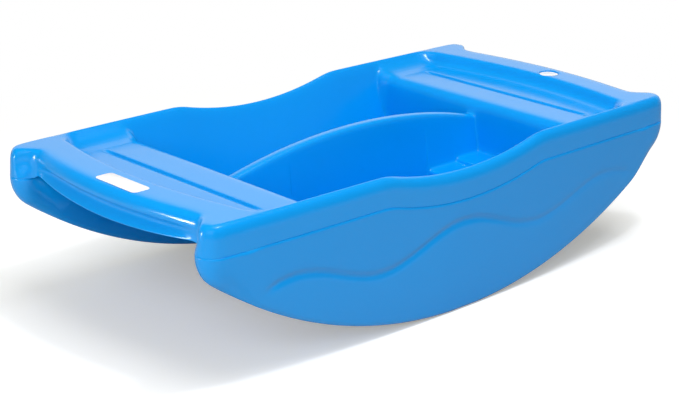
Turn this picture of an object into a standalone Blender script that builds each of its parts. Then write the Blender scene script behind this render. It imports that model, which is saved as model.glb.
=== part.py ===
"""Seesaw rocker: a hollow moulded toy for two riders that rocks on its own curved hulls.

Metres, +Z up. X runs along the length, Y across, and the origin is on the floor under the middle.
The deck moulding sits on two hollow rocker hulls, and meets them at a parting line below the rim.
"""
import math

import bmesh
import bpy

# Overall size
LENGTH = 1.2065
WIDTH = 0.6096
HEIGHT = 0.29845

# Moulding
WALL = 0.0035
GAP = 0.0003

# Rocker hulls
HULL_THICKNESS = 0.0625
ROCKER_END_DROP = 0.00365
SOLE_FLAT = 0.070
END_CORNER_RADIUS = 0.072
SOLE_EDGE_RADIUS = 0.013
SIDE_BOW = 0.006
WAVE_MEAN_HEIGHT = 0.151
WAVE_AMPLITUDE = 0.0245
WAVE_LENGTH = 0.412
WAVE_SHIFT = -0.010
WAVE_END_MARGIN = 0.103
WAVE_DEPTH = 0.0025
WAVE_GROOVE_WIDTH = 0.014
WAVE_FADE = 0.030
GRIP_WALL_INSET = 0.0265

# Rim
SEAM_DROP = 0.0535
RIM_DIP_DEPTH = 0.027
RIM_DIP_HALF = 0.200
RIM_ROUND_WIDTH = 0.014
RIM_ROUND_HEIGHT = 0.020
RIM_INNER_RADIUS = 0.016
RIM_DRAFT = 0.0019
RIM_CORNER_RADIUS = 0.026
INNER_CORNER_RADIUS = 0.024

# End grips
GRIP_BOW = 0.0265
GRIP_INSET = 0.0015
GRIP_NOSE_DROP = 0.026
GRIP_GROOVE_DROP = 0.038
GRIP_GROOVE_DEPTH = 0.013
GRIP_LIP_FLARE = 0.002
GRIP_LIP_SAG = 0.007
GRIP_LIP_HEIGHT = 0.006
GRIP_END_GAP = 0.0125

# Seats
SEAT_DEPTH = 0.0265
SEAT_LENGTH = 0.164
END_RIM_WIDTH = 0.10325
SIDE_RIM_WIDTH = 0.0548
WALL_DRAFT = 0.006
SEAT_EDGE_RADIUS = 0.024
GROOVE_FROM_END = 0.069
GROOVE_WIDTH = 0.012
GROOVE_DEPTH = 0.005
GROOVE_DRAFT = 0.002

# Footwells, foot steps and leg divider
FLOOR_HEIGHT = 0.128
END_WALL_DRAFT = 0.005
STEP_DRAFT = 0.003
LOW_STEP_HEIGHT = 0.160
LOW_STEP_LENGTH = 0.081
HIGH_STEP_HEIGHT = 0.168
HIGH_STEP_LENGTH = 0.071
DIVIDER_TOP_WIDTH = 0.043
DIVIDER_DRAFT = 0.005
DIVIDER_TOP_DROP = 0.0105
DIVIDER_END_DROP = 0.0555
DIVIDER_EDGE = 0.007

# Vent plug and label plate
PLUG_DIAMETER = 0.042
PLUG_INSET = 0.05525
PLUG_Y = -0.026
PLUG_SUNK = 0.0012
PLUG_EDGE_RADIUS = 0.0008
PLUG_LENGTH = 0.012
PLUG_BEAD = 0.0012
PLUG_BEAD_HEIGHT = 0.003
LABEL_LENGTH = 0.109
LABEL_WIDTH = 0.036
LABEL_THICKNESS = 0.0008
LABEL_CORNER_RADIUS = 0.006
LABEL_RECESS = 0.0012
LABEL_INSET = 0.03775
LABEL_Y = -0.017

ARC_STEPS = 4
ROCKER_STATIONS = 9
CORNER_STATIONS = 4

END_X = LENGTH / 2
HULL_INNER_Y = WIDTH / 2 - HULL_THICKNESS
SEAT_HEIGHT = HEIGHT - SEAT_DEPTH
SEAT_END_X = END_X - END_RIM_WIDTH
SEAT_FRONT_X = SEAT_END_X - SEAT_LENGTH
GROOVE_X = SEAT_END_X - GROOVE_FROM_END
HIGH_STEP_X = SEAT_FRONT_X - HIGH_STEP_LENGTH
LOW_STEP_X = HIGH_STEP_X - LOW_STEP_LENGTH
SEAT_HALF_WIDTH = WIDTH / 2 - SIDE_RIM_WIDTH
DIVIDER_HEIGHT = HEIGHT - DIVIDER_TOP_DROP
DIVIDER_END_HEIGHT = HEIGHT - DIVIDER_END_DROP
WAVE_HALF_SPAN = END_X - WAVE_END_MARGIN
GRIP_WALL_END = END_X - GRIP_WALL_INSET
PLUG_X = END_X - PLUG_INSET
LABEL_X = LABEL_INSET - END_X
FOOT_HALF_WIDTH = SEAT_HALF_WIDTH - WALL_DRAFT
GRIP_HALF_WIDTH = FOOT_HALF_WIDTH - GRIP_END_GAP
SKIN = WALL + GAP


def clear_scene():
    for item in list(bpy.data.objects):
        bpy.data.objects.remove(item, do_unlink=True)


def plastic(name, colour, roughness):
    material = bpy.data.materials.new(name)
    material.use_nodes = True
    shader = material.node_tree.nodes["Principled BSDF"]
    shader.inputs["Base Color"].default_value = (*colour, 1.0)
    shader.inputs["Roughness"].default_value = roughness
    shader.inputs["Metallic"].default_value = 0.0
    return material


def add_object(name, mesh_source, material):
    """Turn a bmesh into a named object with its own material."""
    mesh = bpy.data.meshes.new(name)
    mesh_source.to_mesh(mesh)
    mesh_source.free()
    mesh.materials.append(material)
    item = bpy.data.objects.new(name, mesh)
    bpy.context.scene.collection.objects.link(item)
    mesh.shade_smooth()
    mesh.set_sharp_from_angle(angle=math.radians(35))
    return item


def add_wall_thickness(item, thickness):
    """Thicken an open skin inwards, away from the side its faces look to."""
    wall = item.modifiers.new("wall", "SOLIDIFY")
    wall.thickness = thickness
    wall.offset = -1.0
    wall.use_even_offset = True
    wall.use_rim = True


def cut_with(item, cutter):
    cutter.hide_render = True
    cutter.display_type = "WIRE"
    cut = item.modifiers.new("cut", "BOOLEAN")
    cut.operation = "DIFFERENCE"
    cut.solver = "EXACT"
    cut.object = cutter


def interpolate(points, where):
    """Height on a line through (place, height) points, flat beyond its ends."""
    if where <= points[0][0]:
        return points[0][1]
    for (x0, z0), (x1, z1) in zip(points, points[1:]):
        if where <= x1:
            return z0 + (z1 - z0) * (where - x0) / (x1 - x0)
    return points[-1][1]


def rim_height(x):
    """Top of the side rims: level, with a shallow round dip between the riders."""
    dip_radius = (RIM_DIP_HALF ** 2 + RIM_DIP_DEPTH ** 2) / (2 * RIM_DIP_DEPTH)
    if abs(x) >= RIM_DIP_HALF:
        return HEIGHT
    return HEIGHT - RIM_DIP_DEPTH + dip_radius - math.sqrt(dip_radius ** 2 - x ** 2)


def seam_height(x):
    return rim_height(x) - SEAM_DROP


def side_y(x):
    """Half the outer width, which draws in a little towards the ends."""
    return WIDTH / 2 - SIDE_BOW * (x / END_X) ** 2


def divider_height(x):
    """Top of the leg divider: a long round arch from seat to seat."""
    drop = DIVIDER_HEIGHT - DIVIDER_END_HEIGHT
    arch_radius = (SEAT_FRONT_X ** 2 + drop ** 2) / (2 * drop)
    return DIVIDER_HEIGHT - arch_radius + math.sqrt(arch_radius ** 2 - min(abs(x), SEAT_FRONT_X) ** 2)


def quarter_round(start, top, radius, steps):
    """Points of a rounded edge that leaves a wall at start and ends level, radius further on."""
    points = []
    for step in range(steps + 1):
        angle = math.radians(90) * step / steps
        points.append((start + radius * (1 - math.cos(angle)), top - radius * (1 - math.sin(angle))))
    return points


def centre_profile():
    """Surface of footwell, steps, seat and end rim along X, from the middle to one end."""
    points = [(0.0, FLOOR_HEIGHT)]
    points.append((LOW_STEP_X - STEP_DRAFT, FLOOR_HEIGHT))
    points.append((LOW_STEP_X, LOW_STEP_HEIGHT))
    points.append((HIGH_STEP_X - STEP_DRAFT, LOW_STEP_HEIGHT))
    points.append((HIGH_STEP_X, HIGH_STEP_HEIGHT))
    points.append((SEAT_FRONT_X - END_WALL_DRAFT, HIGH_STEP_HEIGHT))
    points += quarter_round(SEAT_FRONT_X, SEAT_HEIGHT, SEAT_EDGE_RADIUS, 3)
    points.append((SEAT_END_X - WALL_DRAFT, SEAT_HEIGHT))
    points += quarter_round(SEAT_END_X, HEIGHT, RIM_INNER_RADIUS, 2)
    return points


def groove_lines():
    half = GROOVE_WIDTH / 2
    return [GROOVE_X - half, GROOVE_X - half + GROOVE_DRAFT, GROOVE_X + half - GROOVE_DRAFT, GROOVE_X + half]


def outer_round():
    """How far in from the edge, and how far down, the points of the rim's outer rounding lie."""
    points = []
    for step in range(3):
        angle = math.radians(90) * step / 2
        points.append((RIM_ROUND_WIDTH * (1 - math.cos(angle)), RIM_ROUND_HEIGHT * (1 - math.sin(angle))))
    return points


def deck_x_lines():
    lines = [x for x, _ in centre_profile()] + groove_lines()
    lines += [RIM_DIP_HALF * step / 3 for step in (1, 2, 3)]
    lines.append(SEAT_END_X - INNER_CORNER_RADIUS)
    lines += [END_X - RIM_DRAFT - inset for inset, _ in outer_round()]
    return mirrored(lines)


def deck_y_lines():
    half = DIVIDER_TOP_WIDTH / 2
    lines = [half - DIVIDER_EDGE, half, half + DIVIDER_DRAFT]
    lines += [GRIP_HALF_WIDTH * share for share in (0.37, 0.7, 1.0)]
    lines.append(FOOT_HALF_WIDTH)
    lines += [y for y, _ in quarter_round(SEAT_HALF_WIDTH, 0.0, RIM_INNER_RADIUS, 2)]
    lines += [WIDTH / 2 - RIM_DRAFT - inset for inset, _ in outer_round()]
    return mirrored(lines)


def mirrored(lines):
    positive = sorted({round(value, 6) for value in lines})
    negative = [-value for value in reversed(positive) if value > 0]
    return negative + positive


def outer_drop(distance):
    """Drop of the rim's outer rounding at a distance in from the outer edge."""
    points = sorted(outer_round())
    return interpolate(points, distance)


def deck_height(x, y):
    """Height of the deck's upper surface at one crossing of the grid lines."""
    across = abs(y)
    along = abs(x)
    height = interpolate(centre_profile(), along)
    _, groove_low, groove_high, _ = groove_lines()
    tolerance = 1e-6
    in_groove = groove_low - tolerance <= along <= groove_high + tolerance
    if in_groove and across <= GRIP_HALF_WIDTH + tolerance:
        height = SEAT_HEIGHT - GROOVE_DEPTH
    if across <= DIVIDER_TOP_WIDTH / 2 + tolerance:
        edge = DIVIDER_EDGE / 2 if across > DIVIDER_TOP_WIDTH / 2 - tolerance else 0.0
        if along < SEAT_FRONT_X + tolerance:
            height = max(height, divider_height(x) - edge)
    if across >= SEAT_HALF_WIDTH - tolerance:
        side = quarter_round(SEAT_HALF_WIDTH, rim_height(x), RIM_INNER_RADIUS, 2)
        height = max(height, interpolate(side, across))
    end_drop = outer_drop(END_X - RIM_DRAFT - along)
    side_drop = outer_drop(WIDTH / 2 - RIM_DRAFT - across)
    return height - max(end_drop, side_drop)


def grip_share(y):
    """1 across the end grip, 0 on the hull ends beside it."""
    return 1.0 - min(1.0, max(0.0, (abs(y) - GRIP_HALF_WIDTH) / GRIP_END_GAP))


def round_corner(x, y, centre_x, centre_y, reach):
    """Move a point of a square corner onto the round corner about a centre."""
    along = abs(x) - centre_x
    across = abs(y) - centre_y
    size = max(along, across)
    if along <= 0 or across <= 0 or size > reach + 1e-6:
        return x, y
    if across < along:
        angle = math.radians(45) * across / along
    else:
        angle = math.radians(90) - math.radians(45) * along / across
    new_x = centre_x + size * math.cos(angle)
    new_y = centre_y + size * math.sin(angle)
    return math.copysign(new_x, x), math.copysign(new_y, y)


def deck_plan(x, y):
    """Where a grid crossing lies in plan, with rounded corners, bowed sides and bowed end grips."""
    edge_x = END_X - RIM_DRAFT
    edge_y = WIDTH / 2 - RIM_DRAFT
    plan_x, plan_y = round_corner(x, y, SEAT_END_X - INNER_CORNER_RADIUS,
                                  SEAT_HALF_WIDTH - INNER_CORNER_RADIUS,
                                  INNER_CORNER_RADIUS + RIM_INNER_RADIUS)
    if (plan_x, plan_y) == (x, y):
        plan_x, plan_y = round_corner(x, y, edge_x - RIM_CORNER_RADIUS, edge_y - RIM_CORNER_RADIUS,
                                      RIM_CORNER_RADIUS)
    rim_start = SEAT_HALF_WIDTH + RIM_INNER_RADIUS
    bow_share = min(1.0, max(0.0, (abs(y) - FOOT_HALF_WIDTH) / (rim_start - FOOT_HALF_WIDTH)))
    plan_y -= math.copysign(bow_share * SIDE_BOW * (plan_x / END_X) ** 2, y)
    if abs(x) >= edge_x - RIM_ROUND_WIDTH - 1e-6:
        inset = GRIP_INSET + GRIP_BOW * (y / GRIP_HALF_WIDTH) ** 2
        plan_x -= math.copysign(inset * grip_share(y), x)
    return plan_x, plan_y


def deck_grid(mesh):
    """Upper surface of the deck on its grid lines."""
    x_lines = deck_x_lines()
    y_lines = deck_y_lines()
    columns = len(x_lines)
    rows = len(y_lines)
    grid = bmesh.ops.create_grid(mesh, x_segments=columns - 1, y_segments=rows - 1, size=1.0)
    ordered = sorted(grid["verts"], key=lambda v: (round(v.co.y, 5), round(v.co.x, 5)))
    for index, vertex in enumerate(ordered):
        x = x_lines[index % columns]
        y = y_lines[index // columns]
        plan_x, plan_y = deck_plan(x, y)
        vertex.co = (plan_x, plan_y, deck_height(x, y))


def pull_skirt(mesh):
    """Draw the deck's outer edge down to the parting line, with a groove and a lip at the grips."""
    edge = [e for e in mesh.edges if e.is_boundary]
    placed = {}
    for vertex in {v for e in edge for v in e.verts}:
        placed[vertex] = vertex.co.copy()
    levels = [
        (GRIP_NOSE_DROP, RIM_DRAFT / 3, -GRIP_LIP_FLARE),
        (GRIP_GROOVE_DROP, RIM_DRAFT * 2 / 3, -GRIP_GROOVE_DEPTH),
        (SEAM_DROP - GRIP_LIP_HEIGHT, RIM_DRAFT, GRIP_LIP_FLARE),
        (SEAM_DROP, RIM_DRAFT, GRIP_LIP_FLARE),
    ]
    for drop, hull_offset, grip_offset in levels:
        result = bmesh.ops.extrude_edge_only(mesh, edges=edge)
        new_edges = [item for item in result["geom"] if isinstance(item, bmesh.types.BMEdge)]
        new_verts = [item for item in result["geom"] if isinstance(item, bmesh.types.BMVert)]
        old_by_place = {tuple(round(c, 7) for c in v.co): source for v, source in placed.items()}
        moved = {}
        for vertex in new_verts:
            source = old_by_place[tuple(round(c, 7) for c in vertex.co)]
            moved[vertex] = source
            vertex.co = skirt_point(source, drop, hull_offset, grip_offset)
        placed = moved
        edge = [e for e in new_edges if e.is_boundary]


def skirt_point(source, drop, hull_offset, grip_offset):
    """One point of the skirt, drop below the rim and pushed out or in from the rim's edge."""
    centre_x = END_X - RIM_DRAFT - RIM_CORNER_RADIUS
    centre_y = WIDTH / 2 - RIM_DRAFT - RIM_CORNER_RADIUS
    on_grip = grip_share(source.y) if abs(source.x) > SEAT_END_X else 0.0
    out_x = max(0.0, abs(source.x) - centre_x) if abs(source.x) > SEAT_END_X else 0.0
    out_y = max(0.0, abs(source.y) - centre_y + SIDE_BOW * (source.x / END_X) ** 2)
    if on_grip > 0:
        out_x, out_y = 1.0, 0.0
    length = math.hypot(out_x, out_y)
    offset = hull_offset + (grip_offset - hull_offset) * on_grip
    x = source.x + offset * math.copysign(out_x / length, source.x)
    y = source.y + offset * math.copysign(out_y / length, source.y)
    sag = 0.0
    if drop >= SEAM_DROP - GRIP_LIP_HEIGHT:
        sag = GRIP_LIP_SAG * on_grip * (1.0 - (source.y / GRIP_HALF_WIDTH) ** 2)
    return (x, y, rim_height(source.x) - drop - max(0.0, sag))


def make_deck(material):
    mesh = bmesh.new()
    deck_grid(mesh)
    pull_skirt(mesh)
    bmesh.ops.recalc_face_normals(mesh, faces=mesh.faces)
    middle = min(mesh.faces, key=lambda f: f.calc_center_median().xy.length)
    if middle.normal.z < 0:
        bmesh.ops.reverse_faces(mesh, faces=mesh.faces)
    deck = add_object("deck_moulding", mesh, material)
    add_wall_thickness(deck, WALL)
    return deck


def rocker_arc():
    """Radius of the sole's long arc, and the centre of the arc at its end, which ends at the seam."""
    centre_x = END_X - END_CORNER_RADIUS
    centre_z = seam_height(END_X) - ROCKER_END_DROP
    square = centre_x ** 2 + centre_z ** 2 - END_CORNER_RADIUS ** 2
    return square / (2 * (centre_z - END_CORNER_RADIUS)), centre_x, centre_z


ROCKER_RADIUS, CORNER_CENTRE_X, CORNER_CENTRE_Z = rocker_arc()
SOLE_LIFT = ROCKER_RADIUS - math.sqrt(ROCKER_RADIUS ** 2 - (SOLE_FLAT / 2) ** 2)


def sole_height(x):
    """Underside of a hull on its rocker arc, flat under the middle."""
    if abs(x) <= SOLE_FLAT / 2:
        return 0.0
    return ROCKER_RADIUS - math.sqrt(ROCKER_RADIUS ** 2 - x ** 2) - SOLE_LIFT


def hull_stations():
    """Points along one half of a hull's lower outline, middle to end, with their inward directions."""
    tangent_angle = math.asin(CORNER_CENTRE_X / (ROCKER_RADIUS - END_CORNER_RADIUS))
    tangent_x = ROCKER_RADIUS * math.sin(tangent_angle)
    half = SOLE_FLAT / 2
    places = [half + (tangent_x - half) * step / ROCKER_STATIONS for step in range(ROCKER_STATIONS)]
    places += [x for x in deck_x_lines() if 0 <= x <= RIM_DIP_HALF]
    stations = []
    for x in sorted({round(place, 6) for place in places}):
        angle = math.asin(x / ROCKER_RADIUS) if x > half else 0.0
        stations.append((x, sole_height(x), -math.sin(angle), math.cos(angle)))
    for step in range(CORNER_STATIONS + 1):
        angle = tangent_angle + (math.radians(90) - tangent_angle) * step / CORNER_STATIONS
        x = CORNER_CENTRE_X + END_CORNER_RADIUS * math.sin(angle)
        z = CORNER_CENTRE_Z - END_CORNER_RADIUS * math.cos(angle) - SOLE_LIFT
        stations.append((x, z, -math.sin(angle), math.cos(angle)))
    stations.append((END_X, seam_height(END_X) - GAP, -1.0, 0.0))
    return stations


def edge_radius(x):
    """Radius of a hull's outer lower edge, which grows to the rim's corner radius at the ends."""
    end_radius = RIM_CORNER_RADIUS + RIM_DRAFT
    share = min(1.0, max(0.0, (x - WAVE_HALF_SPAN) / (END_X - 2 * SOLE_EDGE_RADIUS - WAVE_HALF_SPAN)))
    return SOLE_EDGE_RADIUS + (end_radius - SOLE_EDGE_RADIUS) * share


def wave_height(x):
    phase = 2 * math.pi * (x - WAVE_SHIFT) / WAVE_LENGTH
    return WAVE_MEAN_HEIGHT + WAVE_AMPLITUDE * math.cos(phase)


def edge_point(station, radius, share):
    """Point on a hull's rounded lower edge: share 0 on the side face, 1 on the sole."""
    x, z, toward_x, toward_z = station
    angle = math.radians(90) * share
    inward = radius * (1 - math.sin(angle))
    across = radius * (1 - math.cos(angle))
    return x + toward_x * inward, across, z + toward_z * inward


def side_rows(x, foot_z):
    """Heights and depths of the rows of points up a hull's side, with the wave groove across them."""
    top = seam_height(x) - GAP
    wave = wave_height(x)
    fade = min(1.0, max(0.0, (WAVE_HALF_SPAN - abs(x)) / WAVE_FADE))
    rows = [(top, 0.0)]
    for share, offset, depth in ((0.8, 1, 0.0), (0.6, 0, WAVE_DEPTH), (0.4, -1, 0.0), (0.2, -3, 0.0)):
        plain = foot_z + share * (top - foot_z)
        waved = wave + offset * WAVE_GROOVE_WIDTH / 2
        rows.append((plain + (waved - plain) * fade, depth * fade))
    return rows


def hull_sections(mirror):
    """Points across a hull at each station of one half, from the outer top edge to the inner foot."""
    stations = hull_stations()
    first_corner = len(stations) - 2 - CORNER_STATIONS
    sections = []
    feet = []
    for index, station in enumerate(stations):
        radius = edge_radius(station[0])
        foot_x, _, foot_z = edge_point(station, radius, 0)
        side = side_y(min(foot_x, END_X - radius))
        if index < first_corner:
            column = []
            for height, depth in side_rows(mirror * station[0], foot_z):
                column.append((station[0], side - depth, height))
            column.append((foot_x, side, foot_z))
        else:
            feet.append((foot_x, side, foot_z))
            column = None
        outer = [edge_point(station, radius, step / ARC_STEPS) for step in range(1, ARC_STEPS + 1)]
        inner = [edge_point(station, SOLE_EDGE_RADIUS, step / 2) for step in (2, 1, 0)]
        rest = [(x, side - across, z) for x, across, z in outer]
        rest += [(x, HULL_INNER_Y + across, z) for x, across, z in inner]
        sections.append([column, rest])
    for index in range(first_corner, len(stations)):
        reached = index - first_corner
        column = [feet[max(reached, len(feet) - 1 - row)] for row in range(len(feet))]
        sections[index][0] = column
    return [column + rest for column, rest in sections]


def inner_wall_line():
    """Top edge of a hull's inner wall over one half, close under the deck's skin."""
    line = []
    for x, z in centre_profile():
        line.append((x + SKIN if x > 0 else x, z - SKIN - GAP))
    groove_start, _, _, groove_end = groove_lines()
    under_seat = SEAT_HEIGHT - SKIN - GAP
    line += [(groove_start - SKIN, under_seat), (groove_start, under_seat - GROOVE_DRAFT)]
    line += [(groove_end, under_seat - GROOVE_DRAFT), (groove_end + SKIN, under_seat)]
    line.sort()
    line.append((GRIP_WALL_END, HEIGHT - SKIN - GAP))
    line.append((GRIP_WALL_END, seam_height(END_X) - GAP))
    return line


def make_hull(name, side, material):
    mesh = bmesh.new()
    feet = {}
    for mirror in (-1, 1):
        previous = None
        feet[mirror] = []
        for section in hull_sections(mirror):
            current = [mesh.verts.new((mirror * x, side * y, z)) for x, y, z in section]
            feet[mirror].append(current[-1])
            if previous:
                for index in range(len(current) - 1):
                    corners = (previous[index], previous[index + 1], current[index + 1], current[index])
                    mesh.faces.new(corners)
            previous = current
    line = inner_wall_line()
    top = [mesh.verts.new((-x, side * HULL_INNER_Y, z)) for x, z in reversed(line)]
    top += [mesh.verts.new((x, side * HULL_INNER_Y, z)) for x, z in line[1:]]
    mesh.faces.new(top + list(reversed(feet[1])) + feet[-1][1:])
    bmesh.ops.remove_doubles(mesh, verts=mesh.verts, dist=1e-6)
    bmesh.ops.recalc_face_normals(mesh, faces=mesh.faces)
    lowest = min(mesh.faces, key=lambda f: f.calc_center_median().z)
    if lowest.normal.z > 0:
        bmesh.ops.reverse_faces(mesh, faces=mesh.faces)
    hull = add_object(name, mesh, material)
    add_wall_thickness(hull, WALL)
    return hull


def add_turned(name, outline, place, material):
    """A piece turned about the vertical through a place, from (radius, height) points."""
    mesh = bmesh.new()
    ring = [mesh.verts.new((radius, 0.0, height)) for radius, height in outline]
    edges = [mesh.edges.new(pair) for pair in zip(ring, ring[1:])]
    bmesh.ops.spin(mesh, geom=ring + edges, cent=(0, 0, 0), axis=(0, 0, 1), angle=math.radians(360),
                   steps=32, use_merge=True)
    bmesh.ops.remove_doubles(mesh, verts=mesh.verts, dist=1e-6)
    bmesh.ops.recalc_face_normals(mesh, faces=mesh.faces)
    item = add_object(name, mesh, material)
    item.location = place
    return item


def make_vent_plug(material):
    """White plug in the right end rim, sunk a little, with a bead that snaps under the skin."""
    radius = PLUG_DIAMETER / 2 - GAP
    bead_radius = radius + GAP + PLUG_BEAD
    outline = [
        (0.0, -PLUG_SUNK),
        (radius - PLUG_EDGE_RADIUS, -PLUG_SUNK),
        (radius, -PLUG_SUNK - PLUG_EDGE_RADIUS),
        (radius, -SKIN),
        (bead_radius, -SKIN - PLUG_BEAD / 2),
        (bead_radius, -SKIN - PLUG_BEAD / 2 - PLUG_BEAD_HEIGHT / 2),
        (radius - PLUG_BEAD, -SKIN - PLUG_BEAD_HEIGHT - PLUG_BEAD),
        (radius - PLUG_BEAD, -PLUG_LENGTH),
        (0.0, -PLUG_LENGTH),
    ]
    return add_turned("vent_plug", outline, (PLUG_X, PLUG_Y, HEIGHT), material)


def vent_hole_cutter(material):
    radius = PLUG_DIAMETER / 2
    outline = [(0.0, RIM_INNER_RADIUS), (radius, RIM_INNER_RADIUS), (radius, -PLUG_LENGTH), (0.0, -PLUG_LENGTH)]
    return add_turned("vent_hole_cutter", outline, (PLUG_X, PLUG_Y, HEIGHT), material)


def add_plate(name, length, width, thickness, radius, place, material):
    """A flat plate with round corners, long across the toy."""
    mesh = bmesh.new()
    corners = []
    for quarter, (side_x, side_y_sign) in enumerate(((1, 1), (-1, 1), (-1, -1), (1, -1))):
        for step in range(5):
            angle = math.radians(90) * (quarter + step / 4)
            x = side_x * (width / 2 - radius) + radius * math.cos(angle)
            y = side_y_sign * (length / 2 - radius) + radius * math.sin(angle)
            corners.append(mesh.verts.new((x, y, 0.0)))
    face = mesh.faces.new(corners)
    lifted = bmesh.ops.extrude_face_region(mesh, geom=[face])
    top = [item for item in lifted["geom"] if isinstance(item, bmesh.types.BMVert)]
    bmesh.ops.translate(mesh, verts=top, vec=(0, 0, thickness))
    bmesh.ops.recalc_face_normals(mesh, faces=mesh.faces)
    item = add_object(name, mesh, material)
    item.location = place
    return item


def make_label_plate(material):
    bottom = HEIGHT - LABEL_RECESS + GAP
    return add_plate("label_plate", LABEL_LENGTH, LABEL_WIDTH, LABEL_THICKNESS, LABEL_CORNER_RADIUS,
                     (LABEL_X, LABEL_Y, bottom), material)


def label_recess_cutter(material):
    return add_plate("label_recess_cutter", LABEL_LENGTH + 2 * GAP, LABEL_WIDTH + 2 * GAP,
                     LABEL_RECESS + RIM_INNER_RADIUS, LABEL_CORNER_RADIUS + GAP,
                     (LABEL_X, LABEL_Y, HEIGHT - LABEL_RECESS), material)


def main():
    clear_scene()
    deck_blue = plastic("deck_blue_plastic", (0.02, 0.27, 0.86), 0.28)
    near_blue = plastic("near_hull_blue_plastic", (0.02, 0.25, 0.82), 0.28)
    far_blue = plastic("far_hull_blue_plastic", (0.02, 0.25, 0.82), 0.28)
    plug_white = plastic("plug_white_plastic", (0.86, 0.87, 0.88), 0.35)
    label_white = plastic("label_white_vinyl", (0.90, 0.90, 0.90), 0.30)
    cutter_grey = plastic("cutter_grey", (0.5, 0.5, 0.5), 0.5)
    deck = make_deck(deck_blue)
    cut_with(deck, vent_hole_cutter(cutter_grey))
    cut_with(deck, label_recess_cutter(cutter_grey))
    make_hull("near_rocker_hull", -1, near_blue)
    make_hull("far_rocker_hull", 1, far_blue)
    make_vent_plug(plug_white)
    make_label_plate(label_white)


main()
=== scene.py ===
# %% [markdown]
# # A moulded seesaw rocker
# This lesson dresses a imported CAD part. The real toy is one hollow shell of blue polyethylene, blown or
# spun in a mould, so nearly everything you see is the same plastic. The look comes from soft edges, long
# calm curves and how a satin surface picks up white light. We load the frame first: it tells us how large
# the part is and where each node sits.

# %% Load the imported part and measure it
import math

import bmesh
import bpy
from mathutils import Matrix, Vector


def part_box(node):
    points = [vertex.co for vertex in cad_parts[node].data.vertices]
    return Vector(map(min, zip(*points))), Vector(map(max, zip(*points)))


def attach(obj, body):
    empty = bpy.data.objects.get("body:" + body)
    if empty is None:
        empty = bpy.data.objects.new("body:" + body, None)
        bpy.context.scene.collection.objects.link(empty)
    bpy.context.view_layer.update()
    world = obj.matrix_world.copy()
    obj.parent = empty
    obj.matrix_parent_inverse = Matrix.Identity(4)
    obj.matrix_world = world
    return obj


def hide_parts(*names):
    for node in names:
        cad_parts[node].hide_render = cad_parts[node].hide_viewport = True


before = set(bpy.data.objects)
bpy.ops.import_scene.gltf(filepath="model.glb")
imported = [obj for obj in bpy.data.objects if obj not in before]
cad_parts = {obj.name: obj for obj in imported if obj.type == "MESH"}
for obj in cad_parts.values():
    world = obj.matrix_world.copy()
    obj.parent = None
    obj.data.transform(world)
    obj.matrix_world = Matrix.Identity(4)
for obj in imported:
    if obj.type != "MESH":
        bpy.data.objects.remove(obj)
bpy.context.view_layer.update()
_, deck_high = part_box("deck_moulding")
END_X = deck_high[0]
HALF_WIDTH = deck_high[1]
TOP = deck_high[2]

# %% [markdown]
# ## Main sizes
# A modeller keeps the numbers that many features share in one place. These are the wall of the moulding, the
# parting line, the seat pans, the well floor and the two foot steps, and the draft and bow of the sides, in
# metres. They are the ones that the CAD part is built from. A size that only one curve needs is named next
# to that curve, and some of those, such as the depth of the rim's dip, were measured again in the photograph.
# The overall size comes from the frame, so the dressed toy can't grow away from the CAD part.

# %% Sizes of the moulding's features
WALL = 0.0035
SEAM_DROP = 0.0535
SEAT_DEPTH = 0.0265
WELL_FLOOR = 0.128
LOW_STEP = 0.160
HIGH_STEP = 0.168
SEAT = TOP - SEAT_DEPTH
RIM_DRAFT = 0.0019
EDGE_X = END_X - RIM_DRAFT
EDGE_Y = HALF_WIDTH - RIM_DRAFT
SIDE_BOW = 0.006
print("seat at", round(SEAT, 4), "m, rim at", round(TOP, 4), "m")

# %% [markdown]
# ## Long curves
# The side rims dip between the riders, and the leg divider is an arch. Both are arcs of a circle, given by
# how deep and how wide they are, which is easier to read off a photograph than a radius. The ends of the
# dip are eased so that the rim turns over a soft shoulder, as the real one does.

# %% Arc of the side rim
DIP_DEPTH = 0.0288
DIP_HALF = 0.200
DIP_REACH = DIP_HALF * 1.4
SHOULDER = 0.006


def arc_radius(half, depth):
    return (half ** 2 + depth ** 2) / (2 * depth)


def rim_height(x):
    """Height of the side rim, with its round dip and a soft shoulder at each end of it."""
    radius = arc_radius(DIP_HALF, DIP_DEPTH)
    bottom = TOP - DIP_DEPTH
    reach = min(abs(x), DIP_REACH)
    dip = bottom + radius - math.sqrt(radius ** 2 - reach ** 2)
    blend = max(SHOULDER - abs(dip - TOP), 0.0) / SHOULDER
    return min(dip, TOP) - blend ** 2 * SHOULDER / 4


def seam_height(x):
    return rim_height(x) - SEAM_DROP


print("rim at the middle", round(rim_height(0.0), 4), "and the parting line", round(seam_height(0.0), 4))

# %% Arch of the divider and bow of the sides
ARCH_TOP = TOP - 0.0105
ARCH_END = TOP - 0.0555
ARCH_HALF = 0.336


def arch_height(x):
    radius = arc_radius(ARCH_HALF, ARCH_TOP - ARCH_END)
    return ARCH_TOP - radius + math.sqrt(radius ** 2 - min(abs(x), ARCH_HALF) ** 2)


def side_y(x):
    return HALF_WIDTH - SIDE_BOW * (x / END_X) ** 2


print("arch at the seat", round(arch_height(ARCH_HALF), 4), "and side at the end", round(side_y(END_X), 4))

# %% [markdown]
# ## Lines of the deck cage
# The upper skin is one surface that goes down into the wells and up over the rims. It could be joined from
# many walls and bevels, but a grid suits a moulding better: each line of the grid follows a feature, and
# three or four lines close together make a rounded edge once Subdivision Surface smooths them. The lists
# below give half of the lines, from the middle outwards. Along X each line has a place and the height of the
# skin there, feature by feature.

# %% Lines along the well floor, the two foot steps and the seat's wall
MM = 0.001
QUARTER_TURN = math.radians(90)
SEAT_WALL_X = 0.3355
SEAT_WALL_ROUND = 0.0245
SEAT_WALL_STEPS = 4
CORNER_FADE_FROM = 0.2710


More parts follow.
